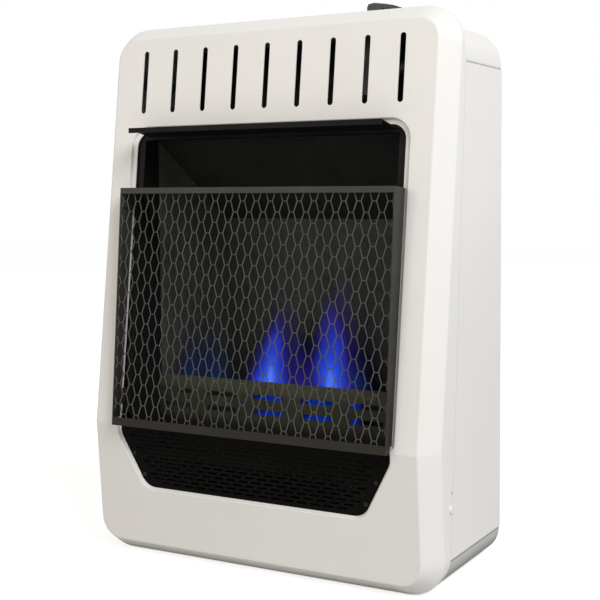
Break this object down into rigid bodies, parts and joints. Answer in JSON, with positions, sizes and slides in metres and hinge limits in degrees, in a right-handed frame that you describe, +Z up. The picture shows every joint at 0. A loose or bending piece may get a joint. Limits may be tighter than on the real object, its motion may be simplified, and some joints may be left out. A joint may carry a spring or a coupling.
{
  "type": "blue flame gas heater",
  "caption": "Wall-hung room heater with a leaning pressed cover, air slots, an open firebox behind a lift-off mesh guard, a burner with gas train, a top knob and a piezo button.",
  "frame": {"origin": "on the floor plane, under the middle of the heater's bounding box", "axes": "+Z up, +Y from the front cover to the back panel, +X to the right seen from the front"},
  "size_m": [0.4074, 0.2026, 0.574],
  "materials": {
    "cream_paint": "satin powder coat, cream white",
    "black_paint": "matt heat-proof black paint",
    "aluminised_steel": "aluminised steel, dull grey",
    "zinc_steel": "zinc-coated sheet",
    "screw_steel": "bright zinc",
    "black_screw": "blackened",
    "brass": "turned",
    "copper": "drawn copper",
    "cast_aluminium": "die cast, blasted",
    "tube_aluminium": "drawn tube",
    "white_ceramic": "unglazed white ceramic",
    "black_plastic": "moulded, fine grain",
    "lead_rubber": "silicone sleeve"
  },
  "bodies": {
    "heater": {"front_cover": "cream_paint", "casing_side_left": "cream_paint", "casing_side_right": "cream_paint", "casing_top": "cream_paint", "casing_bottom": "cream_paint", "casing_back": "zinc_steel", "cover_screws": "screw_steel", "back_screws": "screw_steel", "firebox_front": "black_paint", "firebox_wall_left": "aluminised_steel", "firebox_wall_right": "aluminised_steel", "firebox_back": "aluminised_steel", "firebox_baffle": "aluminised_steel", "firebox_deck": "aluminised_steel", "hood": "black_paint", "lower_grille": "black_paint", "grille_screws": "black_screw", "burner_shield": "aluminised_steel", "burner": "aluminised_steel", "burner_brackets": "zinc_steel", "injector": "brass", "injector_holder": "cast_aluminium", "injector_bracket": "zinc_steel", "pilot_bracket": "zinc_steel", "pilot_burner": "brass", "thermocouple": "screw_steel", "electrode_insulator": "white_ceramic", "electrode_rod": "screw_steel", "gas_valve": "cast_aluminium", "valve_bracket": "zinc_steel", "igniter_body": "black_plastic", "igniter_bezel": "screw_steel", "regulator": "cast_aluminium", "regulator_bracket": "zinc_steel", "inlet_fitting": "brass", "supply_tube": "tube_aluminium", "burner_feed_tube": "tube_aluminium", "pilot_tube": "tube_aluminium", "thermocouple_lead": "copper", "ignition_lead": "lead_rubber", "thermostat_capillary": "copper", "thermostat_bulb": "copper", "bulb_clips": "zinc_steel", "valve_heat_shield": "zinc_steel"},
    "knob_carrier": {"thrust_ring": "brass"},
    "knob": {"valve_stem": "brass", "control_knob": "black_plastic"},
    "button": {"igniter_button": "black_plastic"},
    "guard": {"guard_frame": "black_paint", "guard_mesh": "black_paint"}
  },
  "joints": [
    {"name": "knob_push", "type": "slide", "parent": "heater", "child": "knob_carrier", "axis": [0, 0, -1], "range_m": [0, 0.005], "stiffness_N_per_m": 1000, "springref_m": -0.008},
    {"name": "knob_turn", "type": "hinge", "parent": "knob_carrier", "child": "knob", "pos_m": [0.101, 0.02795, 0.56], "axis": [0, 0, 1], "range_deg": [0, 250]},
    {"name": "igniter_push", "type": "slide", "parent": "heater", "child": "button", "axis": [0, 0, -1], "range_m": [0, 0.006], "stiffness_N_per_m": 1200, "springref_m": -0.006},
    {"name": "guard_lift", "type": "slide", "parent": "heater", "child": "guard", "axis": [0, 0.1278, 0.9918], "range_m": [0, 0.008]}
  ]
}
